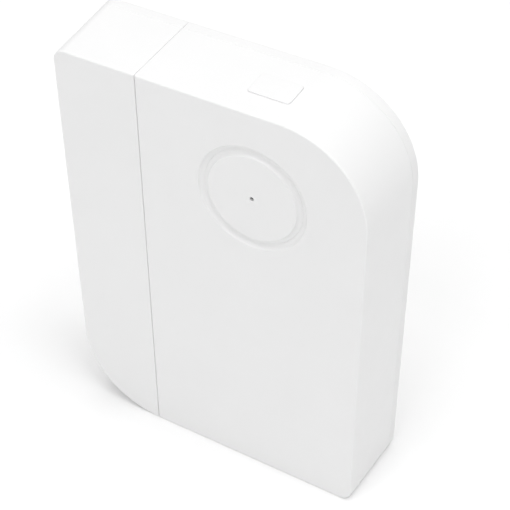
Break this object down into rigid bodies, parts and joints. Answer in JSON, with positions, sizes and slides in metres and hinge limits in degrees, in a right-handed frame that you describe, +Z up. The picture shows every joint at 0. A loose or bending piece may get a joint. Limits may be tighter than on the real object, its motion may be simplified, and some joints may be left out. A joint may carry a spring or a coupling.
{
  "type": "door contact sensor",
  "caption": "Slab-shaped wireless door contact: wide sensor unit with round press disc and release tab, beside a narrow magnet unit.",
  "frame": {"origin": "middle of the closed pair's footprint, on the surface that it stands on", "axes": "+X from the magnet unit to the sensor unit, -Y out of the fronts, +Z up"},
  "size_m": [0.052, 0.0144, 0.0708],
  "materials": {
    "shell": "fine matte moulded",
    "rear_shell": "fine matte moulded",
    "button": "fine matte moulded",
    "clear_pipe": "clear moulded",
    "board": "solder mask, satin",
    "black_plastic": "matte",
    "dark_gloss": "smooth",
    "holder": "matte moulded",
    "steel": "satin",
    "tinned": "tinned",
    "brass": "plated",
    "ceramic_parts": "matt",
    "reed_tube": "clear",
    "magnet": "nickel plated",
    "foam": "closed-cell foam",
    "tape": "release liner, satin",
    "led": "clear cap"
  },
  "bodies": {
    "sensor_base": {"sensor_rear_base": "rear_shell", "circuit_board": "board", "board_screws": "steel", "reed_glass": "reed_tube", "reed_leads": "tinned", "battery_holder": "holder", "battery_contact_negative": "brass", "battery_contact_positive": "brass", "button_switch_case": "black_plastic", "tamper_switch_case": "black_plastic", "status_led": "led", "radio_shield": "tinned", "radio_chip": "dark_gloss", "crystal": "steel", "aerial": "brass", "chip_parts": "ceramic_parts", "sensor_adhesive_pad": "tape"},
    "sensor_cover": {"sensor_front_cover": "shell"},
    "push_button": {"push_button": "button", "light_pipe": "clear_pipe"},
    "release_tab": {"release_tab": "shell"},
    "coin_cell": {"coin_cell": "steel"},
    "button_plunger": {"button_switch_plunger": "black_plastic"},
    "tamper_plunger": {"tamper_switch_plunger": "holder"},
    "magnet_base": {"magnet_rear_base": "rear_shell", "bar_magnet": "magnet", "magnet_foam_strip": "foam", "magnet_adhesive_pad": "tape"},
    "magnet_cover": {"magnet_front_cover": "shell"}
  },
  "joints": [
    {"name": "cover_pull", "type": "slide", "parent": "sensor_base", "child": "sensor_cover", "axis": [0, -1, 0], "range_m": [0, 0.03]},
    {"name": "button_press", "type": "slide", "parent": "sensor_cover", "child": "push_button", "axis": [0, 1, 0], "range_m": [0, 0.0004], "stiffness_N_per_m": 2500},
    {"name": "tab_press", "type": "slide", "parent": "sensor_cover", "child": "release_tab", "axis": [0, 0.0551, -0.9985], "range_m": [0, 0.0006], "stiffness_N_per_m": 3000, "springref_m": -0.0002},
    {"name": "cell_lift", "type": "slide", "parent": "sensor_base", "child": "coin_cell", "axis": [0, -1, 0], "range_m": [0, 0.015]},
    {"name": "button_plunger_press", "type": "slide", "parent": "sensor_base", "child": "button_plunger", "axis": [0, 1, 0], "range_m": [0, 0.0004]},
    {"name": "tamper_plunger_rise", "type": "slide", "parent": "sensor_base", "child": "tamper_plunger", "axis": [0, -1, 0], "range_m": [0, 0.0006]},
    {"name": "door_travel", "type": "slide", "parent": "sensor_base", "child": "magnet_base", "axis": [-1, 0, 0], "range_m": [0, 0.06]},
    {"name": "magnet_cover_pull", "type": "slide", "parent": "magnet_base", "child": "magnet_cover", "axis": [0, -1, 0], "range_m": [0, 0.02]}
  ],
  "couplings": [
    {"joint": "cell_lift", "follows": "cover_pull", "ratio": 0.5},
    {"joint": "tamper_plunger_rise", "follows": "cover_pull", "ratio": 0.02},
    {"joint": "button_plunger_press", "follows": "button_press", "ratio": 1}
  ]
}
